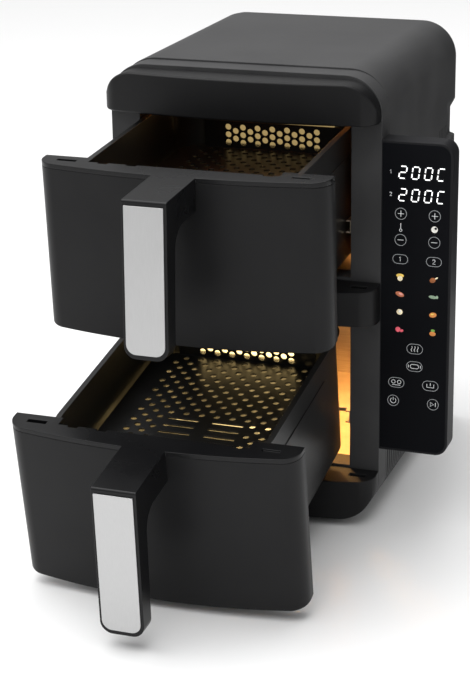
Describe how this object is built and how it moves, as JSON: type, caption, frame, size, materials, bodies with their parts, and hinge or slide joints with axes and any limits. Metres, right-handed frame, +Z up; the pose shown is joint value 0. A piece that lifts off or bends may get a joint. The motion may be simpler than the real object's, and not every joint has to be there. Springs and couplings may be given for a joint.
{
  "type": "air fryer",
  "caption": "Tall two-drawer air fryer: stacked cavities with ceiling heaters and fans, drooping pull-out pots with perforated trays, and a touch panel on a wing at the right.",
  "frame": {"origin": "on the worktop, under the middle of the housing: half its width and half the depth from the frame's front face to the back", "axes": "+X to the right as the user faces it, +Y to the back, +Z up"},
  "size_m": [0.2977, 0.5604, 0.39],
  "materials": {
    "housing_plastic": "moulded, fine matte texture",
    "front_plastic": "moulded, satin",
    "handle_plastic": "moulded, smooth satin",
    "panel_plastic": "moulded, satin",
    "panel_glass": "black printed glass, polished",
    "trim_steel": "satin",
    "coated_steel": "dark non-stick coating, satin",
    "liner_steel": "bright sheet",
    "bright_steel": "bright",
    "heater_steel": "heat-tinted",
    "fan_aluminium": "pressed",
    "motor_steel": "plated",
    "black_rubber": "matt",
    "nylon": "natural",
    "circuit_board": "solder mask",
    "relay_plastic": "moulded",
    "display_plastic": "moulded",
    "magnet": "sintered"
  },
  "bodies": {
    "housing": {"housing_cover": "housing_plastic", "rear_cover": "housing_plastic", "front_frame": "housing_plastic", "top_fascia": "front_plastic", "divider_band": "front_plastic", "plinth": "front_plastic", "chassis_plate": "liner_steel", "cavity_posts": "liner_steel", "rubber_feet": "black_rubber", "cable_grommet": "black_rubber", "rear_screws": "bright_steel", "panel_screws": "bright_steel", "exhaust_ducts": "liner_steel", "thermal_cutouts": "bright_steel", "power_board": "circuit_board", "board_posts": "nylon", "board_relays": "relay_plastic", "reed_switches": "relay_plastic", "catch_springs": "bright_steel", "panel_housing": "panel_plastic", "panel_glass": "panel_glass", "display_module": "display_plastic", "touch_board": "circuit_board", "lower_liner": "liner_steel", "lower_runners": "liner_steel", "lower_heater": "heater_steel", "lower_motor": "motor_steel", "upper_liner": "liner_steel", "upper_runners": "liner_steel", "upper_heater": "heater_steel", "upper_motor": "motor_steel"},
    "lower_fan": {"lower_fan": "fan_aluminium", "lower_fan_shaft": "bright_steel"},
    "lower_shoes": {"lower_guide_shoes": "nylon"},
    "lower_drawer": {"lower_front_shell": "front_plastic", "lower_handle": "handle_plastic", "lower_handle_trim": "trim_steel", "lower_pot": "coated_steel", "lower_pot_bracket": "bright_steel", "lower_pot_screws": "bright_steel", "lower_magnet": "magnet", "lower_pivot_rod": "bright_steel", "lower_rod_clips": "bright_steel"},
    "lower_crisper": {"lower_crisper_plate": "coated_steel", "lower_crisper_feet": "coated_steel"},
    "upper_fan": {"upper_fan": "fan_aluminium", "upper_fan_shaft": "bright_steel"},
    "upper_shoes": {"upper_guide_shoes": "nylon"},
    "upper_drawer": {"upper_front_shell": "front_plastic", "upper_handle": "handle_plastic", "upper_handle_trim": "trim_steel", "upper_pot": "coated_steel", "upper_pot_bracket": "bright_steel", "upper_pot_screws": "bright_steel", "upper_magnet": "magnet", "upper_pivot_rod": "bright_steel", "upper_rod_clips": "bright_steel"},
    "upper_crisper": {"upper_crisper_plate": "coated_steel", "upper_crisper_feet": "coated_steel"}
  },
  "joints": [
    {"name": "lower_fan_spin", "type": "hinge", "parent": "housing", "child": "lower_fan", "pos_m": [0, -0.012, 0.1965], "axis": [0, 0, 1], "continuous": true},
    {"name": "lower_drawer_slide", "type": "slide", "parent": "housing", "child": "lower_shoes", "axis": [0, -0.9997, 0.0227], "range_m": [-0.1949, 0.012]},
    {"name": "lower_drawer_droop", "type": "hinge", "parent": "lower_shoes", "child": "lower_drawer", "pos_m": [0, -0.11035, 0.09092], "axis": [1, 0, 0], "range_deg": [-9.25, 0.66]},
    {"name": "lower_crisper_lift", "type": "slide", "parent": "lower_drawer", "child": "lower_crisper", "axis": [0, -0.159, 0.9873], "range_m": [0, 0.02]},
    {"name": "upper_fan_spin", "type": "hinge", "parent": "housing", "child": "upper_fan", "pos_m": [0, -0.012, 0.3662], "axis": [0, 0, 1], "continuous": true},
    {"name": "upper_drawer_slide", "type": "slide", "parent": "housing", "child": "upper_shoes", "axis": [0, -0.9997, 0.0227], "range_m": [-0.1254, 0.075]},
    {"name": "upper_drawer_droop", "type": "hinge", "parent": "upper_shoes", "child": "upper_drawer", "pos_m": [0, -0.04087, 0.25905], "axis": [1, 0, 0], "range_deg": [-3.63, 2.21]},
    {"name": "upper_crisper_lift", "type": "slide", "parent": "upper_drawer", "child": "upper_crisper", "axis": [0, -0.0616, 0.9981], "range_m": [0, 0.02]}
  ],
  "couplings": [
    {"joint": "lower_drawer_droop", "follows": "lower_drawer_slide", "rad_per_m": 0.81938},
    {"joint": "upper_drawer_droop", "follows": "upper_drawer_slide", "rad_per_m": 0.49131}
  ]
}
